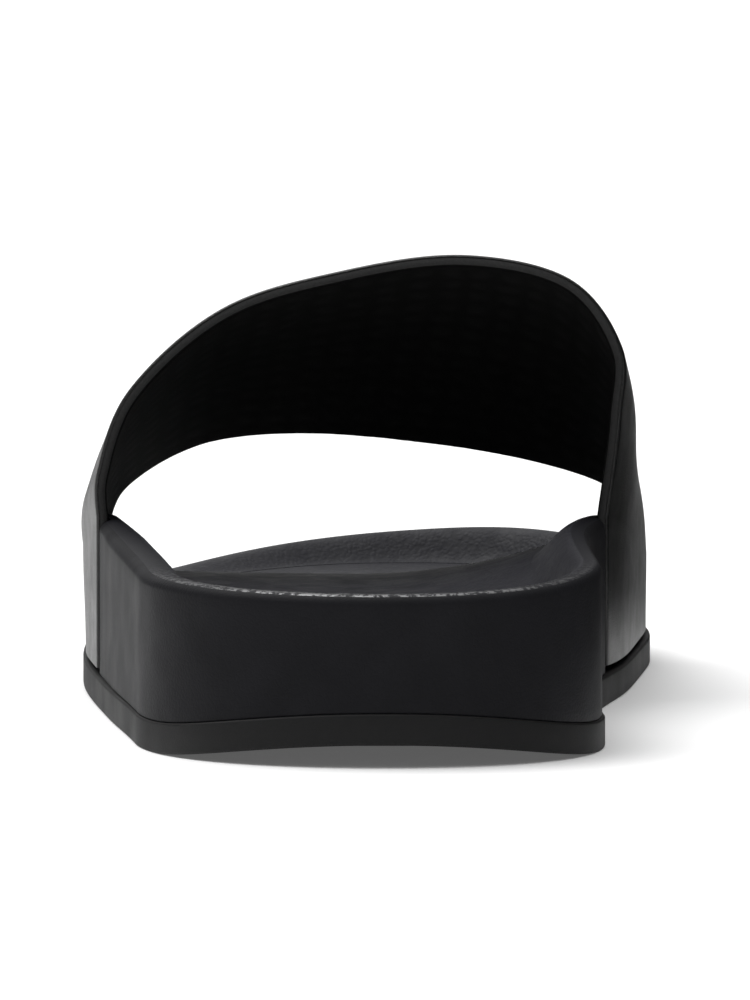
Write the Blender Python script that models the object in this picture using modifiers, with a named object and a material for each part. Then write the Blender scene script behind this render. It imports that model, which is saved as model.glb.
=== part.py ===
"""Sport slide sandal for the left foot: outsole, midsole, footbed and one wide strap.

Sizes are in metres. The sandal stands on z = 0, its toe points to +Y, and its inner side,
the big toe's, is at +X. The origin is under the middle of the sole's length and width.
"""

import math
from collections import namedtuple

import bmesh
import bpy
from mathutils import Vector

# Sole
SOLE_LENGTH = 0.270
BALL_WIDTH = 0.1052
HEEL_WIDTH = 0.079
LIP_HEIGHT = 0.0328
OUTSOLE_THICKNESS = 0.0052
HEEL_ROUND = 0.044
HEEL_POWER = 2.15
TOE_ROUND = 0.074
TOE_POWER = 2.25
HEEL_BEVEL = 0.0038
HEEL_BEVEL_RUN = 0.031
TOE_SPRING = 0.0050
TOE_SPRING_RUN = 0.080
HEEL_LEDGE = 0.0005
BALL_LEDGE = 0.0014
OUTSOLE_EDGE = 0.0006
WALL_CHAMFER = 0.0008

# Lip round the footbed
LIP_ROUND = 0.0022
LIP_CREST = 0.0010
LIP_SLOPE = 0.0070
FOOTBED_THICKNESS = 0.0028
FOOTBED_DISH = 0.0012
ARCH_RISE = 0.0090

# Strap
STRAP_WALL = 0.0022
STRAP_RECESS = 0.0020
STRAP_FOOT = 0.0012
STRAP_CROWN = 0.0026
STRAP_CHAMFER = 0.0005
INSTEP_HEIGHT = 0.0802
TOE_OPENING_HEIGHT = 0.0448

# Tread. The zones are shares of the sole's length.
HEEL_TREAD = (0.09, 0.36)
FOREFOOT_TREAD = (0.52, 0.92)
TREAD_DEPTH = 0.0016
TREAD_WIDTH = 0.0024
TREAD_PITCH = 0.0095
TREAD_BORDER = 0.0085
TREAD_WAVE = 0.0022
TREAD_WAVE_LENGTH = 0.026

# Clearance between pieces that touch on the real sandal
GAP = 0.0003

# along: share of the sole's length, from the heel. centre: middle of the section, as a share
# of the ball width, plus towards the inner side. spread: 0 is as wide as the heel, 1 as the ball.
# outer_lip, inner_lip and bed: heights as shares of the lip height. arch: share of the arch rise.
Section = namedtuple("Section", "along centre spread outer_lip inner_lip bed arch")
SECTIONS = (
    Section(0.00, 0.034, 0.00, 0.870, 0.870, 0.690, 0.00),
    Section(0.14, 0.0165, 0.00, 0.908, 0.950, 0.655, 0.10),
    Section(0.34, -0.016, 0.22, 0.965, 1.010, 0.665, 1.00),
    Section(0.53, -0.004, 0.70, 0.980, 0.972, 0.655, 1.00),
    Section(0.66, 0.008, 0.90, 0.710, 0.750, 0.510, 0.40),
    Section(0.77, 0.026, 0.98, 0.490, 0.600, 0.435, 0.00),
    Section(0.88, 0.055, 0.95, 0.455, 0.625, 0.420, 0.00),
    Section(1.00, 0.090, 0.86, 0.530, 0.730, 0.480, 0.00),
)

# Ribs of the strap, from the outer side over the instep to the inner side. along: share of the
# sole's length. across: share of the strap's half width, -1 outer and 1 inner. up: 0 at the
# sole's lip, 1 at the height of the instep, or of the toe opening for the front edge.
Rib = namedtuple("Rib", "rear_along rear_across rear_up front_along front_across front_up")
RIBS = (
    Rib(0.446, -1.00, 0.00, 0.757, -1.00, 0.00),
    Rib(0.446, -0.998, 0.18, 0.757, -0.98, 0.30),
    Rib(0.444, -0.872, 0.49, 0.755, -0.89, 0.64),
    Rib(0.438, -0.505, 0.795, 0.750, -0.60, 0.94),
    Rib(0.428, -0.05, 0.935, 0.750, -0.20, 1.00),
    Rib(0.420, 0.45, 1.00, 0.757, 0.22, 0.93),
    Rib(0.424, 0.86, 0.91, 0.767, 0.615, 0.78),
    Rib(0.432, 1.065, 0.65, 0.780, 0.88, 0.58),
    Rib(0.438, 1.055, 0.38, 0.790, 0.965, 0.32),
    Rib(0.446, 1.00, 0.00, 0.797, 1.00, 0.00),
)

# Mesh density
PAIRS = 40
FOOTBED_COLUMNS = 8
LIP_STEPS = 3
SLOPE_STEPS = 3
WALL_STEPS = 3
STEPS_PER_RIB = 4
STRAP_COLUMNS = 12


def curve(start, end, leave, arrive, share):
    """Smooth curve between two values with a set slope at each."""
    cube = share ** 3
    square = share ** 2
    return (
        start * (2 * cube - 3 * square + 1)
        + leave * (cube - 2 * square + share)
        + end * (3 * square - 2 * cube)
        + arrive * (cube - square)
    )


def rib_value(position, column):
    """One column of the ribs. position counts ribs from the outer side and may be a fraction."""
    last = len(RIBS) - 1
    low = min(max(int(math.floor(position)), 0), last - 1)
    rows = [RIBS[min(max(low + step, 0), last)] for step in (-1, 0, 1, 2)]
    before, start, end, after = [getattr(row, column) for row in rows]
    return curve(start, end, (end - before) / 2, (after - start) / 2, position - low)


def section_value(y, column):
    """One column of the sections at a distance from the heel, on a smooth curve."""
    along = min(max(y / SOLE_LENGTH, 0.0), 1.0)
    last = len(SECTIONS) - 1
    low = 0
    while low < last - 1 and along > SECTIONS[low + 1].along:
        low += 1
    rows = [SECTIONS[min(max(low + step, 0), last)] for step in (-1, 0, 1, 2)]
    before, start, end, after = [getattr(row, column) for row in rows]
    span = rows[2].along - rows[1].along
    leave = (end - before) / (rows[2].along - rows[0].along) * span
    arrive = (after - start) / (rows[3].along - rows[1].along) * span
    return curve(start, end, leave, arrive, (along - rows[1].along) / span)


def round_end(distance, length, power):
    """Share of the full width at a distance from the end of the sole, for a rounded end."""
    left = max(1.0 - distance / length, 0.0)
    return max(1.0 - left ** power, 0.0) ** (1.0 / power)


def centre(y):
    return section_value(y, "centre") * BALL_WIDTH


def full_half(y):
    """Half the width of the outsole before its ends are rounded."""
    spread = section_value(y, "spread")
    return (HEEL_WIDTH + (BALL_WIDTH - HEEL_WIDTH) * spread) / 2


def half_width(y):
    """Half the width of the outsole at a distance from the heel."""
    heel = round_end(y, HEEL_ROUND, HEEL_POWER)
    toe = round_end(SOLE_LENGTH - y, TOE_ROUND, TOE_POWER)
    return full_half(y) * heel * toe


def across(x, y):
    """Where x lies across the sole: -1 on the outer side, 1 on the inner side."""
    return min(max((x - centre(y)) / full_half(y), -1.0), 1.0)


def lift(y):
    """Height of the sole's underside: the heel's bevel, the flat tread and the toe spring."""
    heel = max(1.0 - y / HEEL_BEVEL_RUN, 0.0)
    toe = max(1.0 - (SOLE_LENGTH - y) / TOE_SPRING_RUN, 0.0)
    return HEEL_BEVEL * heel ** 2 + TOE_SPRING * toe ** 2


def outsole_top(y):
    return lift(y) + OUTSOLE_THICKNESS


def ledge(y):
    """How far the outsole stands out past the midsole's wall."""
    share = min(max(section_value(y, "spread"), 0.0), 1.0)
    return HEEL_LEDGE + (BALL_LEDGE - HEEL_LEDGE) * share


def lip_height(x, y):
    inner = (across(x, y) + 1) / 2
    outer_lip = section_value(y, "outer_lip")
    inner_lip = section_value(y, "inner_lip")
    return LIP_HEIGHT * (outer_lip + (inner_lip - outer_lip) * inner)


def bed_height(x, y):
    """Top of the footbed, dished across and raised under the arch of the foot."""
    side = across(x, y)
    arch = max(side, 0.0) ** 2 * section_value(y, "arch")
    return LIP_HEIGHT * section_value(y, "bed") + FOOTBED_DISH * side ** 2 + ARCH_RISE * arch


def outline_point(step):
    """Point of the outsole's outline. Steps run from the heel along the outer side to the toe."""
    around = step % (2 * PAIRS)
    side = -1 if around <= PAIRS else 1
    y = SOLE_LENGTH / 2 * (1 - math.cos(math.pi * around / PAIRS))
    return Vector((centre(y) + side * half_width(y), y, 0.0))


def outline_normal(step):
    """Outward direction of the outline at a step."""
    small = 0.02
    along = outline_point(step + small) - outline_point(step - small)
    return Vector((-along.y, along.x, 0.0)).normalized()


OUTLINE = [outline_point(step) for step in range(2 * PAIRS)]
NORMALS = [outline_normal(step) for step in range(2 * PAIRS)]
MIDDLE_X = (min(p.x for p in OUTLINE) + max(p.x for p in OUTLINE)) / 2
ORIGIN = Vector((MIDDLE_X, SOLE_LENGTH / 2, 0.0))


def make_material(name, colour, roughness):
    material = bpy.data.materials.new(name)
    material.use_nodes = True
    shader = material.node_tree.nodes["Principled BSDF"]
    shader.inputs["Base Color"].default_value = (*colour, 1.0)
    shader.inputs["Roughness"].default_value = roughness
    shader.inputs["Metallic"].default_value = 0.0
    return material


def make_collection(name):
    collection = bpy.data.collections.new(name)
    bpy.context.scene.collection.children.link(collection)
    return collection


def add_object(name, mesh, collection, material=None):
    made = bpy.data.objects.new(name, mesh)
    collection.objects.link(made)
    if material:
        mesh.materials.append(material)
    mesh.shade_smooth()
    return made


def add_ring(shape, height_at, inset_at):
    """A ring of vertices round the outline, moved inwards, at the height of its own place."""
    ring = []
    for point, normal in zip(OUTLINE, NORMALS):
        place = point - normal * inset_at(point)
        place.z = height_at(point, place)
        ring.append(shape.verts.new(place - ORIGIN))
    return ring


def join_rings(shape, low, high):
    """Quads between two rings, facing outwards when the second ring lies above the first."""
    count = len(low)
    for step in range(count):
        after = (step + 1) % count
        shape.faces.new((low[step], high[step], high[after], low[after]))


def close_ring(shape, ring, columns, height_at, faces_up):
    """Covers a ring with cross lines from its outer to its inner side."""
    lines = [[ring[0]]]
    for step in range(1, PAIRS):
        outer, inner = ring[step], ring[-step]
        line = [outer]
        for column in range(1, columns):
            share = column / columns
            place = outer.co.lerp(inner.co, share)
            place.z = height_at(place.x + ORIGIN.x, place.y + ORIGIN.y)
            line.append(shape.verts.new(place))
        line.append(inner)
        lines.append(line)
    lines.append([ring[PAIRS]])
    for near, far in zip(lines, lines[1:]):
        for column in range(columns):
            corners = [near[min(column, len(near) - 1)], near[min(column + 1, len(near) - 1)]]
            corners += [far[min(column + 1, len(far) - 1)], far[min(column, len(far) - 1)]]
            corners = list(dict.fromkeys(corners))
            shape.faces.new(corners if faces_up else corners[::-1])


def mesh_from(shape, name):
    mesh = bpy.data.meshes.new(name)
    bmesh.ops.recalc_face_normals(shape, faces=shape.faces)
    shape.to_mesh(mesh)
    shape.free()
    return mesh


def subtract(piece, cutter):
    cut = piece.modifiers.new("cut_" + cutter.name, "BOOLEAN")
    cut.operation = "DIFFERENCE"
    cut.solver = "EXACT"
    cut.object = cutter


def make_cutter(name, mesh, collection):
    cutter = add_object(name, mesh, collection)
    cutter.hide_render = True
    cutter.display_type = "WIRE"
    return cutter


def build_outsole(collection, material):
    """The flat plate that shows as a rim round the foot of the midsole."""
    shape = bmesh.new()
    rows = (
        (OUTSOLE_EDGE, 0.0),
        (0.0, OUTSOLE_EDGE),
        (0.0, OUTSOLE_THICKNESS - OUTSOLE_EDGE),
        (OUTSOLE_EDGE, OUTSOLE_THICKNESS),
    )
    rings = []
    for inset, height in rows:
        rings.append(add_ring(shape, lambda p, q, h=height: lift(p.y) + h, lambda p, i=inset: i))
    for low, high in zip(rings, rings[1:]):
        join_rings(shape, low, high)
    close_ring(shape, rings[0], 1, None, False)
    close_ring(shape, rings[-1], 1, None, True)
    return add_object("outsole", mesh_from(shape, "outsole"), collection, material)


def tread_groove(shape, y):
    """One wavy groove across the sole, as a closed cutter that starts below the tread."""
    reach = half_width(y) - TREAD_BORDER
    bends = max(2 * round(reach / (TREAD_WAVE_LENGTH / 2)), 2)
    corners = []
    for bend in range(bends + 1):
        x = centre(y) - reach + 2 * reach * bend / bends
        wave = TREAD_WAVE if bend % 2 else -TREAD_WAVE
        corners.append((x, y + wave))
    top = lift(y) + TREAD_DEPTH
    rims = []
    for height in (-TREAD_DEPTH, top):
        front = [Vector((x, wave_y + TREAD_WIDTH / 2, height)) for x, wave_y in corners]
        back = [Vector((x, wave_y - TREAD_WIDTH / 2, height)) for x, wave_y in reversed(corners)]
        rims.append([shape.verts.new(place - ORIGIN) for place in front + back])
    count = len(rims[0])
    for index in range(count):
        after = (index + 1) % count
        shape.faces.new((rims[0][index], rims[0][after], rims[1][after], rims[1][index]))
    for rim in rims:
        for index in range(bends):
            opposite = count - 1 - index
            shape.faces.new((rim[index], rim[index + 1], rim[opposite - 1], rim[opposite]))


def cut_tread(outsole, collection):
    """Grooves under the heel and the forefoot. The waist between them stays plain."""
    shape = bmesh.new()
    for start, end in (HEEL_TREAD, FOREFOOT_TREAD):
        length = (end - start) * SOLE_LENGTH
        count = max(int(length / TREAD_PITCH), 1)
        for index in range(count + 1):
            tread_groove(shape, start * SOLE_LENGTH + length * index / count)
    subtract(outsole, make_cutter("tread_grooves", mesh_from(shape, "tread_grooves"), collection))


def wall_inset(point):
    """How far the midsole's wall lies inside the outline."""
    return ledge(point.y)


def footbed_edge(point):
    """How far the footbed's edge lies inside the outline."""
    return wall_inset(point) + LIP_ROUND + LIP_CREST + LIP_SLOPE


def lip_profile():
    """Rows from the top of the wall to the footbed's edge: inset, drop, share of the slope."""
    rows = []
    for step in range(LIP_STEPS + 1):
        angle = math.pi / 2 * step / LIP_STEPS
        rows.append((LIP_ROUND * (1 - math.cos(angle)), LIP_ROUND * (1 - math.sin(angle)), 0.0))
    crest_end = LIP_ROUND + LIP_CREST
    for step in range(SLOPE_STEPS + 1):
        share = step / SLOPE_STEPS
        rows.append((crest_end + LIP_SLOPE * share, 0.0, share * share * (3 - 2 * share)))
    return rows


def build_midsole(collection, material):
    """Foam body of the sole, with a raised lip and a shallow tray for the footbed."""
    shape = bmesh.new()

    def foot(point, place):
        return outsole_top(point.y) + GAP

    rings = [add_ring(shape, foot, lambda p: wall_inset(p) + WALL_CHAMFER)]
    for step in range(WALL_STEPS):

        def wall_height(point, place, share=step / WALL_STEPS):
            low = foot(point, place) + WALL_CHAMFER
            high = lip_height(point.x, point.y) - LIP_ROUND
            return low + (high - low) * share

        rings.append(add_ring(shape, wall_height, wall_inset))
    for inset, drop, share in lip_profile():

        def height(point, place, drop=drop, share=share):
            lip = lip_height(point.x, point.y) - drop
            return lip + (bed_height(place.x, place.y) - lip) * share

        rings.append(add_ring(shape, height, lambda p, i=inset: wall_inset(p) + i))
    depth = FOOTBED_THICKNESS + GAP
    rings.append(add_ring(shape, lambda p, q: bed_height(q.x, q.y) - depth, footbed_edge))
    for low, high in zip(rings, rings[1:]):
        join_rings(shape, low, high)
    close_ring(shape, rings[0], 1, None, False)
    close_ring(shape, rings[-1], FOOTBED_COLUMNS, lambda x, y: bed_height(x, y) - depth, True)
    return add_object("midsole", mesh_from(shape, "midsole"), collection, material)


def build_footbed(collection, material):
    """The soft layer under the foot, laid in the midsole's tray."""
    shape = bmesh.new()

    def inset(point):
        return footbed_edge(point) + GAP

    def underside(x, y):
        return bed_height(x, y) - FOOTBED_THICKNESS

    bottom = add_ring(shape, lambda p, q: underside(q.x, q.y), inset)
    top = add_ring(shape, lambda p, q: bed_height(q.x, q.y), inset)
    join_rings(shape, bottom, top)
    close_ring(shape, bottom, FOOTBED_COLUMNS, underside, False)
    close_ring(shape, top, FOOTBED_COLUMNS, bed_height, True)
    return add_object("footbed", mesh_from(shape, "footbed"), collection, material)


def strap_half(y):
    """Half width of the strap's outer face where it lies in its recess in the midsole."""
    proud = STRAP_WALL + GAP - STRAP_RECESS
    return half_width(y) - ledge(y) + proud


def arch_point(position, share):
    """Point of the strap above the lip. position counts ribs, share runs from rear to front."""
    ends = []
    for edge, top in (("rear", INSTEP_HEIGHT), ("front", TOE_OPENING_HEIGHT)):
        y = rib_value(position, edge + "_along") * SOLE_LENGTH
        side = rib_value(position, edge + "_across")
        up = rib_value(position, edge + "_up")
        lip = lip_height(centre(y) + side * half_width(y), y)
        ends.append((y, side, lip + up * (top - lip), up))
    y, side, z, up = (near + (far - near) * share for near, far in zip(*ends))
    crown = STRAP_CROWN * 4 * share * (1 - share) * max(up, 0.0) ** 3
    return Vector((centre(y) + side * strap_half(y), y, z + crown))


def wall_point(side, drop, share):
    """Point of the strap's end on the midsole's wall. drop: 0 at the lip, 1 at the outsole."""
    top = arch_point(0 if side < 0 else len(RIBS) - 1, share)
    bottom = outsole_top(top.y) + STRAP_FOOT
    return Vector((top.x, top.y, top.z + (bottom - top.z) * drop))


def strap_line(share):
    """The strap from its outer end to its inner end, at one share of its width."""
    last = len(RIBS) - 1
    line = [wall_point(-1, 1 - step / WALL_STEPS, share) for step in range(WALL_STEPS)]
    for step in range(last * STEPS_PER_RIB + 1):
        line.append(arch_point(step / STEPS_PER_RIB, share))
    line += [wall_point(1, (step + 1) / WALL_STEPS, share) for step in range(WALL_STEPS)]
    return line


def surface_mesh(name, lines):
    """An open surface through lines of points, facing away from the foot."""
    shape = bmesh.new()
    rows = [[shape.verts.new(place - ORIGIN) for place in line] for line in lines]
    for near, far in zip(rows, rows[1:]):
        for index in range(len(near) - 1):
            shape.faces.new((near[index], near[index + 1], far[index + 1], far[index]))
    mesh = bpy.data.meshes.new(name)
    shape.to_mesh(mesh)
    shape.free()
    return mesh


def thicken(piece, thickness, offset):
    """Gives a surface a thickness. offset: -1 keeps it as the outer face."""
    wall = piece.modifiers.new("wall", "SOLIDIFY")
    wall.thickness = thickness
    wall.offset = offset
    wall.use_even_offset = True
    wall.use_rim = True


def build_strap(collection, material):
    """One wide band over the foot, its ends laid in the sides of the midsole."""
    lines = [strap_line(column / STRAP_COLUMNS) for column in range(STRAP_COLUMNS + 1)]
    strap = add_object("strap", surface_mesh("strap", lines), collection, material)
    thicken(strap, STRAP_WALL, -1.0)
    edge = strap.modifiers.new("edge", "BEVEL")
    edge.width = STRAP_CHAMFER
    edge.segments = 1
    edge.limit_method = "ANGLE"
    edge.angle_limit = math.radians(60)
    return strap


def recess_lines(side):
    """The end of the strap's outer face, grown by the clearance and down past the midsole."""
    lines = []
    span = (RIBS[0].front_along - RIBS[0].rear_along) * SOLE_LENGTH
    grow = GAP / span
    for column in range(STRAP_COLUMNS + 1):
        share = -grow + (1 + 2 * grow) * column / STRAP_COLUMNS
        line = [wall_point(side, 1.0, share) - Vector((0.0, 0.0, OUTSOLE_THICKNESS / 2))]
        line += [wall_point(side, 1 - step / WALL_STEPS, share) for step in range(1, WALL_STEPS)]
        for step in range(STEPS_PER_RIB + 1):
            place = step / STEPS_PER_RIB
            line.append(arch_point(place if side < 0 else len(RIBS) - 1 - place, share))
        lines.append(line if side < 0 else line[::-1])
    return lines


def cut_recess(midsole, side, name, collection):
    """Cuts the shallow recess that takes one end of the strap."""
    cutter = make_cutter(name, surface_mesh(name, recess_lines(side)), collection)
    inward = STRAP_WALL + GAP
    outward = LIP_ROUND + BALL_LEDGE
    thicken(cutter, inward + outward, 2 * outward / (inward + outward) - 1)
    subtract(midsole, cutter)


def clear_scene():
    for old in list(bpy.data.objects):
        bpy.data.objects.remove(old, do_unlink=True)


def main():
    clear_scene()
    parts = make_collection("slide_sandal")
    cutters = make_collection("cutters")
    foam = make_material("black_foam", (0.020, 0.020, 0.021), 0.55)
    rubber = make_material("black_rubber", (0.018, 0.018, 0.018), 0.60)
    bed = make_material("grained_footbed", (0.024, 0.024, 0.027), 0.62)
    leather = make_material("black_synthetic_leather", (0.016, 0.016, 0.016), 0.42)
    outsole = build_outsole(parts, rubber)
    cut_tread(outsole, cutters)
    midsole = build_midsole(parts, foam)
    cut_recess(midsole, -1, "outer_recess", cutters)
    cut_recess(midsole, 1, "inner_recess", cutters)
    build_footbed(parts, bed)
    build_strap(parts, leather)


main()
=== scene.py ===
# %% [markdown]
# A sport slide sandal, seen from behind. The real one is glued together from four parts: a thin
# rubber outsole, a thick foam midsole, a soft footbed in the midsole's tray, and one wide band over
# the foot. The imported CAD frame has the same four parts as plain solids. This file loads the frame
# and makes a finer mesh for each part from the same sizes, so that a highlight runs smoothly along
# every edge, and then gives each part the finish of its real material.

# %% Load the frame
import math
from collections import namedtuple

import bmesh
import bpy
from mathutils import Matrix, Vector, noise


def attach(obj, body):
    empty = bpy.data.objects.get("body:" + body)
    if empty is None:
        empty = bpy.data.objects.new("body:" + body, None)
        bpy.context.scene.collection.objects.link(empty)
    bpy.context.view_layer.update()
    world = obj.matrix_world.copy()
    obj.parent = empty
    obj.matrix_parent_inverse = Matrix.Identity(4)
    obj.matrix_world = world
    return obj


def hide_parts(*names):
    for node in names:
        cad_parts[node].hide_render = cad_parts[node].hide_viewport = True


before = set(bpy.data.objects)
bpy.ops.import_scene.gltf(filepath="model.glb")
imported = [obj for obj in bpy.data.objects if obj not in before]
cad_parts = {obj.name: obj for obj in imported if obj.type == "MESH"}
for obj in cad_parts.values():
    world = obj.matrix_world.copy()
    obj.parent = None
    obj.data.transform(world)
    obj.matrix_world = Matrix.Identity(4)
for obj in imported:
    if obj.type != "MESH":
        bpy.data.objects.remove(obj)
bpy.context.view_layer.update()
print("nodes:", sorted(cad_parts))

# %% [markdown]
# The sizes come first, in metres. They are the same as in the CAD source, so that each fine part
# fills the space of its plain solid.

# %% Sizes
SOLE_LENGTH = 0.270
BALL_WIDTH = 0.1052
HEEL_WIDTH = 0.079
LIP_HEIGHT = 0.0328
OUTSOLE_THICKNESS = 0.0052
HEEL_ROUND = 0.044
HEEL_POWER = 2.15
TOE_ROUND = 0.074
TOE_POWER = 2.25
HEEL_BEVEL = 0.0038
HEEL_BEVEL_RUN = 0.031
TOE_SPRING = 0.0050
TOE_SPRING_RUN = 0.080
HEEL_LEDGE = 0.0005
BALL_LEDGE = 0.0014
LIP_ROUND = 0.0022
LIP_CREST = 0.0010
LIP_SLOPE = 0.0070
FOOTBED_THICKNESS = 0.0028
FOOTBED_DISH = 0.0012
ARCH_RISE = 0.0090
STRAP_WALL = 0.0022
STRAP_RECESS = 0.0020
STRAP_FOOT = 0.0012
STRAP_CROWN = 0.0026
INSTEP_HEIGHT = 0.0802
TOE_OPENING_HEIGHT = 0.0448
GAP = 0.0003
print(f"sole {1000 * SOLE_LENGTH:.0f} mm long, {1000 * BALL_WIDTH:.0f} mm wide at the ball")

# %% [markdown]
# A shoe's outline has no simple formula. Shoemakers draw it through a few cross sections of the
# last, and the same is done here: a table has one row for each section, and a smooth curve runs
# through each column. The band has a table of its own, with one row for each rib over the foot.

# %% Sections of the sole and ribs of the band
# along: share of the length from the heel. centre: middle, as a share of the ball width. spread:
# 0 as wide as the heel, 1 as the ball. Lips and bed: shares of the lip height. arch: its share.
Section = namedtuple("Section", "along centre spread outer_lip inner_lip bed arch")
SECTIONS = (
    Section(0.00, 0.034, 0.00, 0.870, 0.870, 0.690, 0.00),
    Section(0.14, 0.0165, 0.00, 0.908, 0.950, 0.655, 0.10),
    Section(0.34, -0.016, 0.22, 0.965, 1.010, 0.665, 1.00),
    Section(0.53, -0.004, 0.70, 0.980, 0.972, 0.655, 1.00),
    Section(0.66, 0.008, 0.90, 0.710, 0.750, 0.510, 0.40),
    Section(0.77, 0.026, 0.98, 0.490, 0.600, 0.435, 0.00),
    Section(0.88, 0.055, 0.95, 0.455, 0.625, 0.420, 0.00),
    Section(1.00, 0.090, 0.86, 0.530, 0.730, 0.480, 0.00),
)
# along: share of the sole's length. across: -1 at the outer side, 1 at the inner side. up: 0 at
# the lip, 1 at the height of the instep, or of the toe opening for the front edge.
Rib = namedtuple("Rib", "rear_along rear_across rear_up front_along front_across front_up")
RIBS = (
    Rib(0.446, -1.00, 0.00, 0.757, -1.00, 0.00),
    Rib(0.446, -0.998, 0.18, 0.757, -0.98, 0.30),
    Rib(0.444, -0.872, 0.49, 0.755, -0.89, 0.64),
    Rib(0.438, -0.505, 0.795, 0.750, -0.60, 0.94),
    Rib(0.428, -0.05, 0.935, 0.750, -0.20, 1.00),
    Rib(0.420, 0.45, 1.00, 0.757, 0.22, 0.93),
    Rib(0.424, 0.86, 0.91, 0.767, 0.615, 0.78),
    Rib(0.432, 1.065, 0.65, 0.780, 0.88, 0.58),
    Rib(0.438, 1.055, 0.38, 0.790, 0.965, 0.32),
    Rib(0.446, 1.00, 0.00, 0.797, 1.00, 0.00),
)
LAST_RIB = len(RIBS) - 1


def curve(start, end, leave, arrive, share):
    """Smooth curve between two values with a set slope at each."""
    cube = share ** 3
    square = share ** 2
    return (
        start * (2 * cube - 3 * square + 1)
        + leave * (cube - 2 * square + share)
        + end * (3 * square - 2 * cube)
        + arrive * (cube - square)
    )


def rib_value(position, column):
    """One column of the ribs. position counts ribs from the outer side and may be a fraction."""
    low = min(max(int(math.floor(position)), 0), LAST_RIB - 1)
    rows = [RIBS[min(max(low + step, 0), LAST_RIB)] for step in (-1, 0, 1, 2)]
    before, start, end, after = [getattr(row, column) for row in rows]
    return curve(start, end, (end - before) / 2, (after - start) / 2, position - low)


def section_value(y, column):
    """One column of the sections at a distance from the heel."""
    along = min(max(y / SOLE_LENGTH, 0.0), 1.0)
    last = len(SECTIONS) - 1
    low = 0
    while low < last - 1 and along > SECTIONS[low + 1].along:
        low += 1
    rows = [SECTIONS[min(max(low + step, 0), last)] for step in (-1, 0, 1, 2)]
    before, start, end, after = [getattr(row, column) for row in rows]
    span = rows[2].along - rows[1].along
    leave = (end - before) / (rows[2].along - rows[0].along) * span
    arrive = (after - start) / (rows[3].along - rows[1].along) * span
    return curve(start, end, leave, arrive, (along - rows[1].along) / span)


print("sections:", len(SECTIONS), "ribs:", len(RIBS))

# %% [markdown]
# These few functions turn the tables into the sole's form: how wide it is, where its middle lies,
# how high the lip and the footbed are, and how far the heel's bevel and the toe spring lift it.

# %% The form of the sole


def soft_step(value):
    """0 up to 0, 1 from 1, and an S curve between."""
    share = min(max(value, 0.0), 1.0)
    return share * share * (3 - 2 * share)


def round_end(distance, length, power):
    """Share of the full width at a distance from the end of the sole, for a rounded end."""
    left = max(1.0 - distance / length, 0.0)
    return max(1.0 - left ** power, 0.0) ** (1.0 / power)


def centre(y):
    return section_value(y, "centre") * BALL_WIDTH


def full_half(y):
    """Half the width of the outsole before its ends are rounded."""
    return (HEEL_WIDTH + (BALL_WIDTH - HEEL_WIDTH) * section_value(y, "spread")) / 2


def half_width(y):
    heel = round_end(y, HEEL_ROUND, HEEL_POWER)
    toe = round_end(SOLE_LENGTH - y, TOE_ROUND, TOE_POWER)
    return full_half(y) * heel * toe


def across(x, y):
    """Where x lies across the sole: -1 on the outer side, 1 on the inner side."""
    return min(max((x - centre(y)) / full_half(y), -1.0), 1.0)


def lift(y):
    """Height of the underside: the heel's bevel, the flat tread and the toe spring."""
    heel = max(1.0 - y / HEEL_BEVEL_RUN, 0.0)
    toe = max(1.0 - (SOLE_LENGTH - y) / TOE_SPRING_RUN, 0.0)
    return HEEL_BEVEL * heel ** 2 + TOE_SPRING * toe ** 2


def outsole_top(y):
    return lift(y) + OUTSOLE_THICKNESS


def ledge(y):
    """How far the outsole stands out past the midsole's wall."""
    share = min(max(section_value(y, "spread"), 0.0), 1.0)
    return HEEL_LEDGE + (BALL_LEDGE - HEEL_LEDGE) * share


def lip_height(x, y):
    inner = (across(x, y) + 1) / 2
    outer_lip = section_value(y, "outer_lip")
    return LIP_HEIGHT * (outer_lip + (section_value(y, "inner_lip") - outer_lip) * inner)


def bed_height(x, y):
    """Top of the footbed, dished across and raised under the arch of the foot."""
    side = across(x, y)
    arch = max(side, 0.0) ** 2 * section_value(y, "arch")
    return LIP_HEIGHT * section_value(y, "bed") + FOOTBED_DISH * side ** 2 + ARCH_RISE * arch


print(f"lip at the heel {1000 * lip_height(0.0, 0.0):.1f} mm above the floor")

# %% [markdown]
# Three of the four parts follow the outline, so they can be lofted: a ring of points runs round the
# outline, more rings lie further in or higher up, and quads join one ring to the next. Extra points
# stand close together where the band's recesses start and end, so that their edges stay crisp
# without a finer mesh everywhere.

# %% The outline as a ring of points
EVEN_PAIRS = 150
SLOT = 0.0004
EDGE_RUN = 0.0006


def outline_point(turn):
    """Point of the outsole's outline. turn runs from the heel by the outer side, pi at the toe."""
    around = turn % (2 * math.pi)
    side = -1 if around <= math.pi else 1
    y = SOLE_LENGTH / 2 * (1 - math.cos(around))
    return Vector((centre(y) + side * half_width(y), y, 0.0))


def outline_normal(turn):
    """Outward direction of the outline."""
    along = outline_point(turn + 0.0016) - outline_point(turn - 0.0016)
    return Vector((-along.y, along.x, 0.0)).normalized()


def recess_span(side):
    """Where the recess for the band's end starts and ends along the sole."""
    rib = RIBS[0] if side < 0 else RIBS[-1]
    return rib.rear_along * SOLE_LENGTH - GAP - SLOT, rib.front_along * SOLE_LENGTH + GAP


def half_turns():
    """Turns from heel to toe, with extra ones near the four ends of the recesses."""
    turns = {round(math.pi * step / EVEN_PAIRS, 6) for step in range(EVEN_PAIRS + 1)}
    for side in (-1, 1):
        rear, front = recess_span(side)
        for step in range(-2, 10):
            for y in (rear + EDGE_RUN * step / 6, front - EDGE_RUN * step / 6):
                turns.add(round(math.acos(1 - 2 * y / SOLE_LENGTH), 6))
    return sorted(turns)


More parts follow.
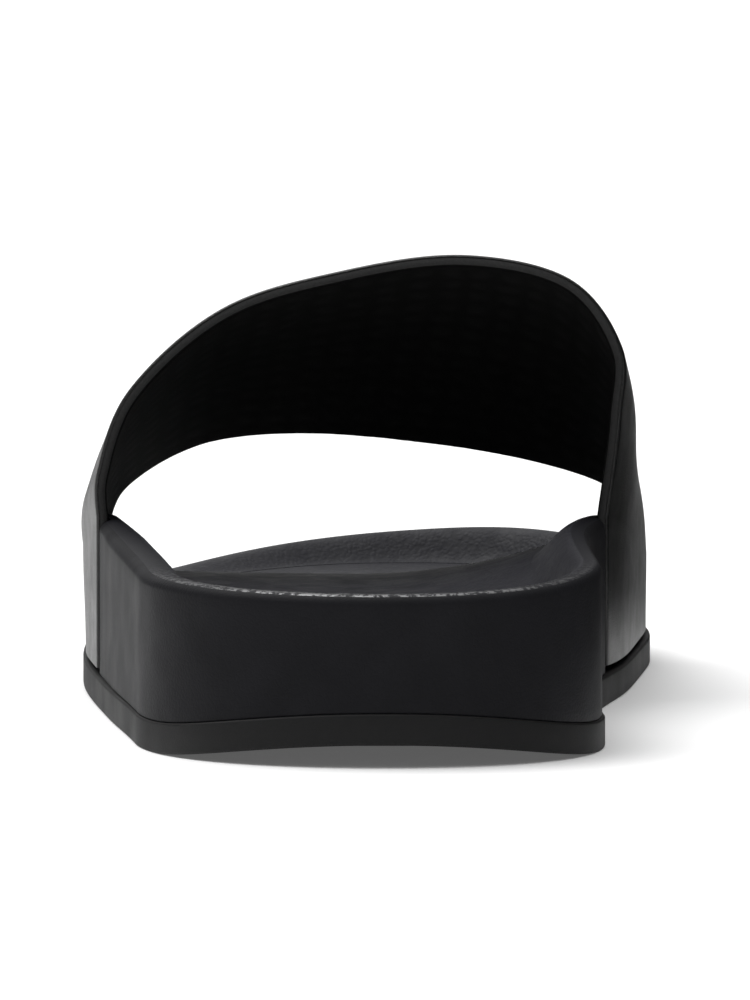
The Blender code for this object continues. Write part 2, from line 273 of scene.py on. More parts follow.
HALF_TURNS = half_turns()
TURNS = HALF_TURNS + [2 * math.pi - turn for turn in HALF_TURNS[-2:0:-1]]
PAIRS = len(HALF_TURNS) - 1
OUTLINE = [outline_point(turn) for turn in TURNS]
NORMALS = [outline_normal(turn) for turn in TURNS]
SIDES = [-1 if turn <= math.pi else 1 for turn in TURNS]
EVEN = [outline_point(math.pi * step / 40) for step in range(80)]
MIDDLE_X = (min(p.x for p in EVEN) + max(p.x for p in EVEN)) / 2
ORIGIN = Vector((MIDDLE_X, SOLE_LENGTH / 2, 0.0))
print("points round the outline:", len(OUTLINE))

# %% Rings, covers and finished pieces


def add_ring(shape, inset_at, height_at):
    """A ring round the outline, moved inwards, at the height of its own place."""
    ring = []
    for point, normal, side in zip(OUTLINE, NORMALS, SIDES):
        place = point - normal * inset_at(point, side)
        place.z = height_at(point, place)
        ring.append(shape.verts.new(place - ORIGIN))
    return ring


def join_rings(shape, rings, changes=()):
    """Quads between each ring and the next. The material changes at each ring number listed."""
    for index, (low, high) in enumerate(zip(rings, rings[1:])):
        count = len(low)
        for step in range(count):
            after = (step + 1) % count
            face = shape.faces.new((low[step], high[step], high[after], low[after]))
            face.material_index = sum(index >= change for change in changes)


def cover_ring(shape, ring, columns, height_at=None):
    """Closes a ring with cross lines from its outer to its inner side."""
    lines = [[ring[0]]]
    for step in range(1, PAIRS):
        outer, inner = ring[step], ring[-step]
        line = [outer]
        for column in range(1, columns):
            place = outer.co.lerp(inner.co, column / columns)
            place.z = height_at(place.x + ORIGIN.x, place.y + ORIGIN.y)
            line.append(shape.verts.new(place))
        lines.append(line + [inner])
    lines.append([ring[PAIRS]])
    for near, far in zip(lines, lines[1:]):
        for column in range(columns):
            corners = [near[min(column, len(near) - 1)], near[min(column + 1, len(near) - 1)]]
            corners += [far[min(column + 1, len(far) - 1)], far[min(column, len(far) - 1)]]
            shape.faces.new(list(dict.fromkeys(corners)))


def mark_sharp(shape, degrees):
    """Smooth shading everywhere but over edges that turn by more than an angle."""
    for face in shape.faces:
        face.smooth = True
    for edge in shape.edges:
        if len(edge.link_faces) == 2:
            edge.smooth = edge.calc_face_angle(0.0) < math.radians(degrees)


def add_piece(name, shape, materials, degrees=50):
    """Turns a bmesh into an object at the origin, its faces pointing outwards."""
    bmesh.ops.recalc_face_normals(shape, faces=shape.faces)
    mark_sharp(shape, degrees)
    mesh = bpy.data.meshes.new(name)
    shape.to_mesh(mesh)
    shape.free()
    for material in materials:
        mesh.materials.append(material)
    piece = bpy.data.objects.new(name, mesh)
    bpy.context.scene.collection.objects.link(piece)
    return piece


def stand_for(piece, node):
    """The piece rides on the one body and takes the place of a CAD node, which it hides."""
    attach(piece, "root")
    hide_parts(node)
    print(f"{piece.name}: {len(piece.data.polygons)} faces for {node}")


# %% [markdown]
# Every finish is made of shader nodes. Colours are written as sRGB hex, as a colour picker shows
# them, and one function turns them into the linear values that a render needs. One small function
# adds a node with its settings and links. A few more stand for the steps that most recipes share:
# noise of a certain grain, a value moved to another range, a tint between two colours, a bump.

# %% Colours and nodes


def srgb(code):
    """An sRGB hex colour as linear red, green, blue and alpha."""
    parts = [int(code[at:at + 2], 16) / 255 for at in (1, 3, 5)]
    linear = [p / 12.92 if p <= 0.04045 else ((p + 0.055) / 1.055) ** 2.4 for p in parts]
    return (*linear, 1.0)


def add_node(tree, kind, inputs=None, **settings):
    """Adds a node, sets its properties, and sets or links its inputs by name or number."""
    node = tree.nodes.new(kind)
    for name, value in settings.items():
        setattr(node, name, value)
    for name, value in (inputs or {}).items():
        if isinstance(value, bpy.types.NodeSocket):
            tree.links.new(value, node.inputs[name])
        else:
            node.inputs[name].default_value = value
    return node


def new_material(name, roughness, specular=0.5, **extra):
    """A material with a principled shader, and its tree and shader for the rest of the recipe."""
    material = bpy.data.materials.new(name)
    material.use_nodes = True
    tree = material.node_tree
    shader = tree.nodes["Principled BSDF"]
    shader.inputs["Roughness"].default_value = roughness
    shader.inputs["Specular IOR Level"].default_value = specular
    for socket, value in extra.items():
        shader.inputs[socket.replace("_", " ")].default_value = value
    return material, tree, shader


def link_all(tree, shader, values):
    """Links each value to the shader's socket of that name."""
    for name, value in values.items():
        tree.links.new(value, shader.inputs[name])


def per_mm(size):
    """The scale of a texture in metres whose cells are this many millimetres wide."""
    return 1000.0 / size


def object_place(tree):
    return add_node(tree, "ShaderNodeTexCoord").outputs["Object"]


def noise_value(tree, place, size, detail=2.0, roughness=0.5, distortion=0.0):
    """Noise with lumps this many millimetres wide."""
    inputs = {"Vector": place, "Scale": per_mm(size), "Detail": detail}
    inputs.update({"Roughness": roughness, "Distortion": distortion})
    return add_node(tree, "ShaderNodeTexNoise", inputs).outputs["Fac"]


def bent_place(tree, place, size, amount):
    """The place shifted by noise, so that no two cells of a pattern on it are alike."""
    bend = add_node(tree, "ShaderNodeTexNoise", {"Vector": place, "Scale": per_mm(size), "Detail": 2.0})
    inputs = {0: bend.outputs["Color"], 1: (amount, amount, amount), 2: place}
    return add_node(tree, "ShaderNodeVectorMath", inputs, operation="MULTIPLY_ADD").outputs[0]


def remap(tree, value, source, target=(0.0, 1.0), smooth=False):
    """Moves a value from one range to another, evenly or along an S curve."""
    inputs = {"Value": value, "From Min": source[0], "From Max": source[1]}
    inputs.update({"To Min": target[0], "To Max": target[1]})
    kind = "SMOOTHSTEP" if smooth else "LINEAR"
    return add_node(tree, "ShaderNodeMapRange", inputs, interpolation_type=kind).outputs["Result"]


def math_step(tree, operation, *values):
    return add_node(tree, "ShaderNodeMath", dict(enumerate(values)), operation=operation).outputs[0]


def tint(tree, factor, low, high):
    """A colour between two hex colours."""
    inputs = {"Factor": factor, 6: srgb(low), 7: srgb(high)}
    return add_node(tree, "ShaderNodeMix", inputs, data_type="RGBA").outputs[2]


def bump(tree, height, strength, distance):
    """Shades a height as relief. The distance is in metres."""
    inputs = {"Height": height, "Strength": strength, "Distance": distance}
    return add_node(tree, "ShaderNodeBump", inputs).outputs["Normal"]


# %% [markdown]
# The midsole is foam with a skin, as it leaves a mould whose steel was etched with a fine leather
# grain. The grain is a net of shallow creases about a millimetre apart, too fine to model, so it is
# a bump: a Voronoi texture gives the cells, and noise bends their borders so that no two are alike.

# %% Moulded foam skin


def moulded_foam_skin():
    """Black polyurethane skin: satin, with a leather grain that breaks up its highlights."""
    material, tree, shader = new_material("moulded_polyurethane_skin", 0.52, 0.07)
    place = object_place(tree)
    cells = add_node(
        tree, "ShaderNodeTexVoronoi",
        {"Vector": bent_place(tree, place, 1.8, 0.0009), "Scale": per_mm(0.9)},
        feature="DISTANCE_TO_EDGE",
    )
    creases = remap(tree, cells.outputs["Distance"], (0.0, 0.22), smooth=True)
    fine = noise_value(tree, place, 0.45, 3.0, 0.6)
    relief = math_step(tree, "MULTIPLY_ADD", fine, 0.55, creases)
    cloud = noise_value(tree, place, 9.0, 4.0)
    link_all(tree, shader, {
        "Base Color": tint(tree, cloud, "#171719", "#1f1f22"),
        "Roughness": remap(tree, cloud, (0.3, 0.7), (0.56, 0.50)),
        "Normal": bump(tree, relief, 0.35, 0.00005),
    })
    return material


SKIN = moulded_foam_skin()
print("made", SKIN.name)

# %% [markdown]
# The skin is rubbed along the lip's crest, most of all round the heel, where the foot steps in and
# out. There the high spots are polished and sparkle between dull ones. The polish is a coat whose
# weight is a noise, and it fades with the distance from the middle of the heel.

# %% The rubbed crest
HEEL_POINT = (-0.003, -0.133, 0.032)
POLISH_REACH = (0.012, 0.062)


def rubbed_skin():
    """The same skin along the lip's crest: round the heel, rubbed spots shine between dull ones."""
    material, tree, shader = new_material(
        "rubbed_polyurethane_skin", 0.5, 0.10, Coat_Roughness=0.28, Coat_IOR=2.0,
    )
    place = object_place(tree)
    spots = noise_value(tree, place, 1.1, 3.0, 0.70)
    shine = remap(tree, spots, (0.44, 0.55), smooth=True)
    away = add_node(tree, "ShaderNodeVectorMath", {0: place, 1: HEEL_POINT}, operation="DISTANCE")
    near = remap(tree, away.outputs["Value"], POLISH_REACH, (1.0, 0.0), smooth=True)
    link_all(tree, shader, {
        "Base Color": tint(tree, noise_value(tree, place, 3.0), "#161618", "#1f1f24"),
        "Coat Weight": math_step(tree, "MULTIPLY", shine, near),
        "Normal": bump(tree, spots, 0.5, 0.00012),
    })
    return material


CREST = rubbed_skin()
print("made", CREST.name)

# %% [markdown]
# The outsole is moulded rubber. Rubber takes the grit of a blasted mould, so it has a very fine
# even roughness, and scuffing leaves faint paler and more matt clouds on it.

# %% Moulded rubber


def moulded_rubber():
    """Black vulcanised rubber: matt, with a fine grit and faint cloudy wear."""
    material, tree, shader = new_material("moulded_rubber", 0.53, 0.20)
    place = object_place(tree)
    grit = noise_value(tree, place, 0.35, 4.0, 0.65)
    cloud = noise_value(tree, place, 14.0, 5.0)
    link_all(tree, shader, {
        "Base Color": tint(tree, cloud, "#131313", "#1b1b1c"),
        "Roughness": remap(tree, cloud, (0.3, 0.7), (0.54, 0.66)),
        "Normal": bump(tree, grit, 0.45, 0.00008),
    })
    return material


RUBBER = moulded_rubber()
print("made", RUBBER.name)

# %% [markdown]
# The footbed is soft foam pressed against a pebbled plate. Its grain is raised and soft-edged, and
# wide uneven wear makes some places a little smoother than others, which shows as faint streaks
# when the footbed is seen at a low angle.

# %% Pebbled footbed foam


def pebbled_foam():
    """Black EVA foam with a cool tint, which is a painted reflection: matt, with soft pebbles and faint
    uneven wear.
    """
    material, tree, shader = new_material("pebbled_eva_foam", 0.55, 0.18)
    place = object_place(tree)
    pebbles = add_node(
        tree, "ShaderNodeTexVoronoi",
        {"Vector": bent_place(tree, place, 2.5, 0.0012), "Scale": per_mm(0.8), "Smoothness": 0.8},
        feature="SMOOTH_F1",
    )
    tops = remap(tree, pebbles.outputs["Distance"], (0.15, 0.75), (1.0, 0.0), smooth=True)
    worn = noise_value(tree, place, 7.0, 4.0, 0.65, 0.6)
    relief = math_step(tree, "MULTIPLY_ADD", worn, 1.6, tops)
    link_all(tree, shader, {
        # Both colours carry the cool tint, a painted reflection; the pebble tops are a shade lighter.
        "Base Color": tint(tree, tops, "#1a1a1f", "#1e1e24"),
        "Roughness": remap(tree, worn, (0.35, 0.65), (0.64, 0.52)),
        "Normal": bump(tree, relief, 0.5, 0.00010),
    })
    return material


BED_FOAM = pebbled_foam()
print("made", BED_FOAM.name)

# %% [markdown]
# The band is a sandwich. Outside is fabric coated with soft polyurethane and embossed with a close
# grain, sold as synthetic leather. Inside it is a foam layer, which shows as a thin lighter line
# where the band is cut, and a brushed knit lining lies against the foot. Each layer gets its own
# material on the one mesh. The lining's ribs follow the piece's own UV map, since knit runs along
# the band and not along the world's axes.

# %% The three layers of the band


def coated_leather():
    """Black polyurethane-coated fabric: smooth satin sheen over a close, shallow grain."""
    material, tree, shader = new_material("coated_synthetic_leather", 0.40, 0.54)
    place = object_place(tree)
    cells = add_node(
        tree, "ShaderNodeTexVoronoi",
        {"Vector": place, "Scale": per_mm(0.75), "Randomness": 0.9},
        feature="DISTANCE_TO_EDGE",
    )
    creases = remap(tree, cells.outputs["Distance"], (0.0, 0.2), smooth=True)
    waves = noise_value(tree, place, 6.0, 3.0)
    relief = math_step(tree, "MULTIPLY_ADD", waves, 1.6, creases)
    link_all(tree, shader, {
        "Base Color": tint(tree, waves, "#141414", "#1c1c1b"),
        "Roughness": remap(tree, waves, (0.3, 0.7), (0.35, 0.44)),
        "Normal": bump(tree, relief, 0.35, 0.00009),
    })
    return material


def cut_foam_edge():
    """Dark grey foam where the band is cut: dry and matt, paler than the coating beside it."""
    material, tree, shader = new_material("cut_foam_edge", 0.85, 0.25)
    pores = noise_value(tree, object_place(tree), 0.5, 4.0, 0.7)
    link_all(tree, shader, {
        "Base Color": tint(tree, pores, "#232323", "#3a3a3a"),
        "Normal": bump(tree, pores, 0.6, 0.00015),
    })
    return material


def knit_ribs(tree, uv, size, distortion, direction):
    """Faint ribs. A wave texture turns 20 radians in a unit, so a rib is 2 pi times this size wide."""
    inputs = {"Vector": uv, "Scale": per_mm(size) / 20, "Distortion": distortion}
    inputs.update({"Detail": 1.0, "Detail Scale": 2.0})
    return add_node(tree, "ShaderNodeTexWave", inputs, bands_direction=direction).outputs["Fac"]


def brushed_knit():
    """Black brushed polyester knit: no highlight, only a soft nap over faint ribs."""
    material, tree, shader = new_material("brushed_knit_lining", 0.92, 0.12)
    uv = add_node(tree, "ShaderNodeTexCoord").outputs["UV"]
    rows = knit_ribs(tree, uv, 1.2, 1.5, "Y")
    columns = knit_ribs(tree, uv, 0.9, 1.2, "X")
    weave = math_step(tree, "MULTIPLY", rows, columns)
    nap = noise_value(tree, uv, 0.6, 4.0, 0.7)
    relief = math_step(tree, "MULTIPLY_ADD", nap, 0.8, weave)
    link_all(tree, shader, {
        "Base Color": tint(tree, relief, "#060606", "#131313"),
        "Normal": bump(tree, relief, 0.5, 0.00020),
    })
    return material


LEATHER = coated_leather()
CUT_FOAM = cut_foam_edge()
LINING = brushed_knit()
print("made", LEATHER.name, CUT_FOAM.name, LINING.name)

# %% [markdown]
# The outsole is a thin plate that stands out round the midsole as a rim. Its rim is lofted from
# rings, with both corners rounded, because a moulded rubber edge is never sharp.

# %% The outsole plate
RIM_ROUND = 0.0004
RIM_UNDER = 0.0010
RIM_OVER = 0.0030
CORNER_STEPS = 4
HOLLOW_SLOPE = 0.090
UNDERSIDE_COLUMNS = 12


def rim_rows():
    """Inset and height above the underside, from the underside round the rim to the top."""
    rows = [(RIM_ROUND + RIM_UNDER, 0.0)]
    for step in range(CORNER_STEPS + 1):
        angle = math.pi / 2 * step / CORNER_STEPS
        rows.append((RIM_ROUND * (1 - math.sin(angle)), RIM_ROUND * (1 - math.cos(angle))))
    rows.append((0.0, OUTSOLE_THICKNESS / 2))
    for step in range(CORNER_STEPS + 1):
        angle = math.pi / 2 * step / CORNER_STEPS
        down = RIM_ROUND * (1 - math.sin(angle))
        rows.append((RIM_ROUND * (1 - math.cos(angle)), OUTSOLE_THICKNESS - down))
    rows.append((RIM_ROUND + RIM_OVER, OUTSOLE_THICKNESS))
    return rows


def underside(x, y):
    """The underside inside its rim: under the heel it is hollowed up to a gentler slope."""
    hollow = max(HEEL_BEVEL - HOLLOW_SLOPE * y - lift(y), 0.0)
    return lift(y) + hollow * (1 - across(x, y) ** 4)


def outsole_plate():
    shape = bmesh.new()
    rings = []
    for inset, height in rim_rows():
        rings.append(add_ring(shape, lambda p, s, i=inset: i, lambda p, q, h=height: lift(p.y) + h))
    join_rings(shape, rings)
    cover_ring(shape, rings[0], UNDERSIDE_COLUMNS, underside)
    cover_ring(shape, rings[-1], 1)
    return add_piece("outsole_rubber", shape, [RUBBER])


outsole = outsole_plate()
print("outsole plate:", len(outsole.data.polygons), "faces")

# %% [markdown]
# The tread is a row of wavy grooves under the heel and another under the forefoot. One groove
# repeated along a line is work for Geometry Nodes: the tree makes one wavy bar, puts a copy on each
# point of a line, keeps only what lies inside the field of the tread, and cuts that from the plate.
# The field is the outline moved inwards, made here as a slab that follows the underside's bends, so
# each groove ends at the same border and has the same depth.

# %% The tread, with Geometry Nodes
TREAD_DEPTH = 0.0016
TREAD_BORDER = 0.0085
TREAD_SIZES = {
    "Pitch": 0.0095,
    "Groove Width": 0.0024,
    "Wave Height": 0.0022,
    "Wave Length": 0.026,
}
TREAD_ZONES = ((0.09, 0.36), (0.52, 0.92))
FIELD_BOTTOM = -0.004
BAR_LENGTH = 0.130
BAR_HEIGHT = 0.030
BAR_POINTS = 91
GROOVE_EDGE_ANGLE = 35


def tread_field():
    """A slab inside the outline, from below the floor up to the bottom of the grooves."""
    shape = bmesh.new()
    rings = []
    for height in (FIELD_BOTTOM, TREAD_DEPTH):
        rings.append(add_ring(shape, lambda p, s: TREAD_BORDER, lambda p, q, h=height: lift(q.y) + h))
    join_rings(shape, rings)
    cover_ring(shape, rings[0], 1)
    cover_ring(shape, rings[1], 1)
    return add_piece("tread_field", shape, [])


def tread_tree():
    """Cuts a row of wavy grooves, within a field, from the mesh that the modifier is on."""
    tree = bpy.data.node_groups.new("wavy_tread", "GeometryNodeTree")
    sockets = [("Geometry", "NodeSocketGeometry"), ("Field", "NodeSocketObject")]
    sockets += [("Start", "NodeSocketFloat"), ("End", "NodeSocketFloat")]
    sockets += [(name, "NodeSocketFloat") for name in TREAD_SIZES]
    for name, kind in sockets:
        tree.interface.new_socket(name=name, in_out="INPUT", socket_type=kind)
    tree.interface.new_socket(name="Geometry", in_out="OUTPUT", socket_type="NodeSocketGeometry")
    given = add_node(tree, "NodeGroupInput").outputs
    span = math_step(tree, "SUBTRACT", given["End"], given["Start"])
    spaces = math_step(tree, "FLOOR", math_step(tree, "DIVIDE", span, given["Pitch"]))
    count = math_step(tree, "ADD", spaces, 1.0)
    first = add_node(tree, "ShaderNodeCombineXYZ", {"Y": given["Start"]})
    final = add_node(tree, "ShaderNodeCombineXYZ", {"Y": given["End"]})
    line = add_node(
        tree, "GeometryNodeMeshLine",
        {"Count": count, "Start Location": first.outputs[0], "Offset": final.outputs[0]},
        mode="END_POINTS",
    )
    size = add_node(
        tree, "ShaderNodeCombineXYZ",
        {"X": BAR_LENGTH, "Y": given["Groove Width"], "Z": BAR_HEIGHT},
    )
    bar = add_node(
        tree, "GeometryNodeMeshCube",
        {"Size": size.outputs[0], "Vertices X": BAR_POINTS, "Vertices Y": 2, "Vertices Z": 2},
    )
    place = add_node(tree, "GeometryNodeInputPosition").outputs[0]
    place = add_node(tree, "ShaderNodeSeparateXYZ", {0: place})
    turns = math_step(tree, "DIVIDE", place.outputs["X"], given["Wave Length"])
    wave = math_step(tree, "COSINE", math_step(tree, "MULTIPLY", turns, 2 * math.pi))
    sway = math_step(tree, "MULTIPLY", wave, given["Wave Height"])
    offset = add_node(tree, "ShaderNodeCombineXYZ", {"Y": sway})
    wavy = add_node(
        tree, "GeometryNodeSetPosition",
        {"Geometry": bar.outputs["Mesh"], "Offset": offset.outputs[0]},
    )
    row = add_node(
        tree, "GeometryNodeInstanceOnPoints",
        {"Points": line.outputs["Mesh"], "Instance": wavy.outputs["Geometry"]},
    )
    bars = add_node(tree, "GeometryNodeRealizeInstances", {"Geometry": row.outputs["Instances"]})
    field = add_node(
        tree, "GeometryNodeObjectInfo", {"Object": given["Field"]}, transform_space="RELATIVE",
    )
    grooves = add_node(tree, "GeometryNodeMeshBoolean", operation="INTERSECT", solver="EXACT")
    tree.links.new(bars.outputs["Geometry"], grooves.inputs["Mesh 2"])
    tree.links.new(field.outputs["Geometry"], grooves.inputs["Mesh 2"])
    cut = add_node(
        tree, "GeometryNodeMeshBoolean",
        {"Mesh 1": given["Geometry"], "Mesh 2": grooves.outputs["Mesh"]},
        operation="DIFFERENCE", solver="EXACT",
    )
    real = add_node(tree, "GeometryNodeRealizeInstances", {"Geometry": cut.outputs["Mesh"]})
    painted = add_node(
        tree, "GeometryNodeSetMaterial",
        {"Geometry": real.outputs["Geometry"], "Material": RUBBER},
    )
    add_node(tree, "NodeGroupOutput", {"Geometry": painted.outputs["Geometry"]})
    return tree


def socket_id(tree, name):
    """The identifier by which a modifier knows an input of its tree."""
    items = tree.interface.items_tree
    return next(item.identifier for item in items if item.name == name and item.in_out == "INPUT")


def apply_tree(piece, tree, values):
    """Adds the tree as a modifier with its inputs set, and keeps the result as a plain mesh."""
    modifier = piece.modifiers.new(tree.name, "NODES")
    modifier.node_group = tree
    for name, value in values.items():
        modifier[socket_id(tree, name)] = value
    evaluated = piece.evaluated_get(bpy.context.evaluated_depsgraph_get())
    mesh = bpy.data.meshes.new_from_object(evaluated)
    piece.modifiers.remove(modifier)
    piece.data = mesh


tread = tread_tree()
field = tread_field()
for start, end in TREAD_ZONES:
    zone = {"Start": (start - 0.5) * SOLE_LENGTH, "End": (end - 0.5) * SOLE_LENGTH, "Field": field}
    apply_tree(outsole, tread, {**TREAD_SIZES, **zone})
bpy.data.objects.remove(field, do_unlink=True)
shape = bmesh.new()
shape.from_mesh(outsole.data)
mark_sharp(shape, GROOVE_EDGE_ANGLE)
shape.to_mesh(outsole.data)
shape.free()
stand_for(outsole, "outsole")

# %% [markdown]
# The midsole is one lofted shell. Its rows run from the narrow foot that leaves a dark crease above
# the outsole, up the wall, over the rounded lip and down into the tray for the footbed. In the two
# recesses the wall steps in by the depth that the band's end needs. The lip is rounded more widely
# on the outer side between the heel and the band, and a little more tightly round the heel.

# %% The midsole
WALL_ROWS = 12
LIP_ROWS = 8
SLOPE_ROWS = 10
CREST_ROWS = 3
TRAY_COLUMNS = 8
# The foot of the wall: inset and rise of each row.
FOOT_ROWS = ((0.0022, 0.0), (0.00030, 0.0), (0.00014, 0.00003), (0.00004, 0.00012), (0.0, 0.00030))
FOOT_GAP = 0.00004
LIP_WIDEN = 0.0020
WIDEN_RUN = 0.050
WIDEN_END = 0.133
WIDEN_END_RUN = 0.045
HEEL_CREST = 0.90
HEEL_CREST_END = 0.012
HEEL_CREST_RUN = 0.040
BED_EDGE_INSET = LIP_ROUND + LIP_CREST + LIP_SLOPE


def recess_depth(point, side):
    """How far the wall steps in at a point, with softly rounded ends."""
    rear, front = recess_span(side)
    inside = soft_step((point.y - rear) / EDGE_RUN) * soft_step((front - point.y) / EDGE_RUN)
    return STRAP_RECESS * inside


def crest_share(y):
    """How much of the full rounding the lip has: the crest is tighter round the heel."""
    return HEEL_CREST + (1 - HEEL_CREST) * soft_step((y - HEEL_CREST_END) / HEEL_CREST_RUN)


def outer_widening(y):
    """How much wider the lip is rounded on the outer side."""
    return LIP_WIDEN * soft_step(y / WIDEN_RUN) * soft_step((WIDEN_END - y) / WIDEN_END_RUN)


def lip_rows():
    """From the top of the wall to the footbed's edge: inset, drop, share of the slope."""
    rows = []
    for step in range(LIP_ROWS + 1):
        angle = math.pi / 2 * step / LIP_ROWS
        rows.append((LIP_ROUND * (1 - math.cos(angle)), LIP_ROUND * (1 - math.sin(angle)), 0.0))
    for step in range(SLOPE_ROWS + 1):
        share = step / SLOPE_ROWS
        rows.append((LIP_ROUND + LIP_CREST + LIP_SLOPE * share, 0.0, soft_step(share)))
    return rows


def midsole_foot(y):
    return outsole_top(y) + FOOT_GAP


def midsole_shell():
    shape = bmesh.new()
    rings = []

    def wall_ring(inset, height_at, rounding=0.0):
        def inset_at(point, side):
            outer = outer_widening(point.y) if side < 0 else 0.0
            shift = outer - LIP_ROUND * (1 - crest_share(point.y))
            return ledge(point.y) + max(inset + rounding * shift, recess_depth(point, side))

        rings.append(add_ring(shape, inset_at, height_at))

    for inset, rise in FOOT_ROWS:
        wall_ring(inset, lambda p, q, r=rise: midsole_foot(p.y) + r)
    for step in range(1, WALL_ROWS):

        def wall_height(point, place, share=step / WALL_ROWS):
            low = midsole_foot(point.y) + FOOT_ROWS[-1][1]
            top = lip_height(point.x, point.y) - LIP_ROUND * crest_share(point.y)
            return low + (top - low) * share

        wall_ring(0.0, wall_height)
    for inset, drop, share in lip_rows():

        def lip_place(point, place, drop=drop, share=share):
            lip = lip_height(point.x, point.y) - drop * crest_share(point.y)
            return lip + (bed_height(place.x, place.y) - lip) * share

        wall_ring(inset, lip_place, min(inset / LIP_ROUND, 1.0) * (1 - share))
    depth = FOOTBED_THICKNESS + GAP
    wall_ring(BED_EDGE_INSET, lambda p, q: bed_height(q.x, q.y) - depth)
    crest = len(FOOT_ROWS) + WALL_ROWS + LIP_ROWS - 1
    join_rings(shape, rings, (crest - CREST_ROWS, crest + 1))
    cover_ring(shape, rings[0], 1)
    cover_ring(shape, rings[-1], TRAY_COLUMNS, lambda x, y: bed_height(x, y) - depth)
    return add_piece("midsole_foam", shape, [SKIN, CREST, BED_FOAM])


stand_for(midsole_shell(), "midsole")

# %% [markdown]
# The footbed lies in the tray. At the toe and along the outer side its edge is rounded over, which
# with the clearance beside it makes a thin dark line inside the lip. Round the heel and along the
# arch it runs smoothly into the lip, as on the real sandal.

# %% The footbed
BED_COLUMNS = 48
# The rounded edge: inset and drop of each row.
BED_EDGE = (
    (0.0, -0.00050),
    (0.00004, -0.00020),
    (0.00014, -0.00007),
    (0.00034, -0.00001),
    (0.00060, 0.0),
)
BED_OVERLAP = 0.0005
CREASE_WIDTH = 0.0006
CREASE_STARTS = {-1: 0.020, 1: 0.150}
CREASE_RUN = 0.050
SMOOTH_DROP = 0.04


def crease(y, side):
    """1 where the footbed's edge shows as a crease, 0 where it runs smoothly into the lip."""
    return soft_step((y - CREASE_STARTS[side]) / CREASE_RUN)


def depth_share(point, drop):
    """The rounded edge drops only where there is a crease, the underside lies at its full depth."""
    if drop == -FOOTBED_THICKNESS:
        return 1.0
    side = -1 if point.x < centre(point.y) else 1
    return SMOOTH_DROP + (1 - SMOOTH_DROP) * crease(point.y, side)


def footbed_pad():
    shape = bmesh.new()
    start = BED_EDGE_INSET - BED_OVERLAP
    rings = []
    for inset, drop in ((0.0, -FOOTBED_THICKNESS),) + BED_EDGE:
        rings.append(add_ring(
            shape,
            lambda p, s, i=inset: ledge(p.y) + start + i + CREASE_WIDTH * crease(p.y, s),
            lambda p, q, d=drop: bed_height(q.x, q.y) + d * depth_share(p, d),
        ))
    join_rings(shape, rings)
    cover_ring(shape, rings[0], TRAY_COLUMNS, lambda x, y: bed_height(x, y) - FOOTBED_THICKNESS)
    cover_ring(shape, rings[-1], BED_COLUMNS, bed_height)
    return add_piece("footbed_foam", shape, [BED_FOAM])


stand_for(footbed_pad(), "footbed")

# %% [markdown]
# The band is a surface over the foot: one number runs along the band from its outer end to its
# inner end, another across it from its rear edge to its front edge. A closed section is swept along
# it, so that the coating, the foam and the lining each have their own place on the cut edge. The
# band bulges a little beside the lip, where the wall stops holding it. Small noise, always the same,
# keeps the soft band from looking like bent steel.

# %% The band's surface
OUTER_BULGE = 0.0010
INNER_BULGE = 0.0004
BULGE_HEIGHT = 0.031
BULGE_REACH = 0.012
BULGE_START = 0.4
BULGE_FALL = 0.6
BAND_CORNER = 0.0045
CORNER_ACROSS = 8
CORNER_DOWN = 2.5


def strap_half(y):
    """Half width of the band's outer face where it lies in its recess."""
    return half_width(y) - ledge(y) + STRAP_WALL + GAP - STRAP_RECESS


def arch_point(position, share):
    """Point of the band above the lip. position counts ribs, share runs from rear to front."""
    ends = []
    for edge, top in (("rear", INSTEP_HEIGHT), ("front", TOE_OPENING_HEIGHT)):
        y = rib_value(position, edge + "_along") * SOLE_LENGTH
        side = rib_value(position, edge + "_across")
        up = rib_value(position, edge + "_up")
        lip = lip_height(centre(y) + side * half_width(y), y)
        ends.append((y, side, lip + up * (top - lip), up))
    y, side, z, up = (near + (far - near) * share for near, far in zip(*ends))
    crown = STRAP_CROWN * 4 * share * (1 - share) * max(up, 0.0) ** 3
    return Vector((centre(y) + side * strap_half(y), y, z + crown))


def band_point(position, share):
    """Outer face. Below 0 and above the last rib it runs down the wall, 1 for its whole height."""
    drop = min(max(-position, position - LAST_RIB, 0.0), 1.0)
    top = arch_point(min(max(position, 0.0), LAST_RIB), share)
    foot = outsole_top(top.y) + STRAP_FOOT
    side = -1 if position < LAST_RIB / 2 else 1
    bulge = INNER_BULGE if side > 0 else OUTER_BULGE
    bulge *= math.exp(-((top.z - BULGE_HEIGHT) / BULGE_REACH) ** 2)
    bulge *= (1 - BULGE_FALL * soft_step(drop)) * soft_step(share / BULGE_START)
    corner = 0.0
    if side > 0:
        corner = BAND_CORNER * (1 - share) ** CORNER_ACROSS * drop ** CORNER_DOWN
    return Vector((top.x + side * bulge, top.y + corner, top.z + (foot - top.z) * drop))


def band_frame(position, share):
    """Point, outward direction and direction across the band."""
    point = band_point(position, share)
    small = 0.01
    along = band_point(min(position + small, LAST_RIB + 1), share)
    along -= band_point(max(position - small, -1.0), share)
    side = band_point(position, min(share + small, 1.0)) - band_point(position, max(share - small, 0.0))
    return point, along.cross(side).normalized(), side.normalized()


INSTEP_WIDTH = (band_point(5, 0) - band_point(5, 1)).length
print(f"band, rear edge to front edge at the instep: {1000 * INSTEP_WIDTH:.0f} mm")

# %% The band's section, swept
FACE_COLUMNS = 36
WALL_STEPS = 14
OVER_STEPS = 150
BAND_WAVE = 0.00022
WAVE_SCALE = 45.0
WAVE_START = 0.6
NAP_WAVE = 0.00010
NAP_SCALE = 900.0
LEATHER_LAYER, FOAM_LAYER, LINING_LAYER = 0, 1, 2
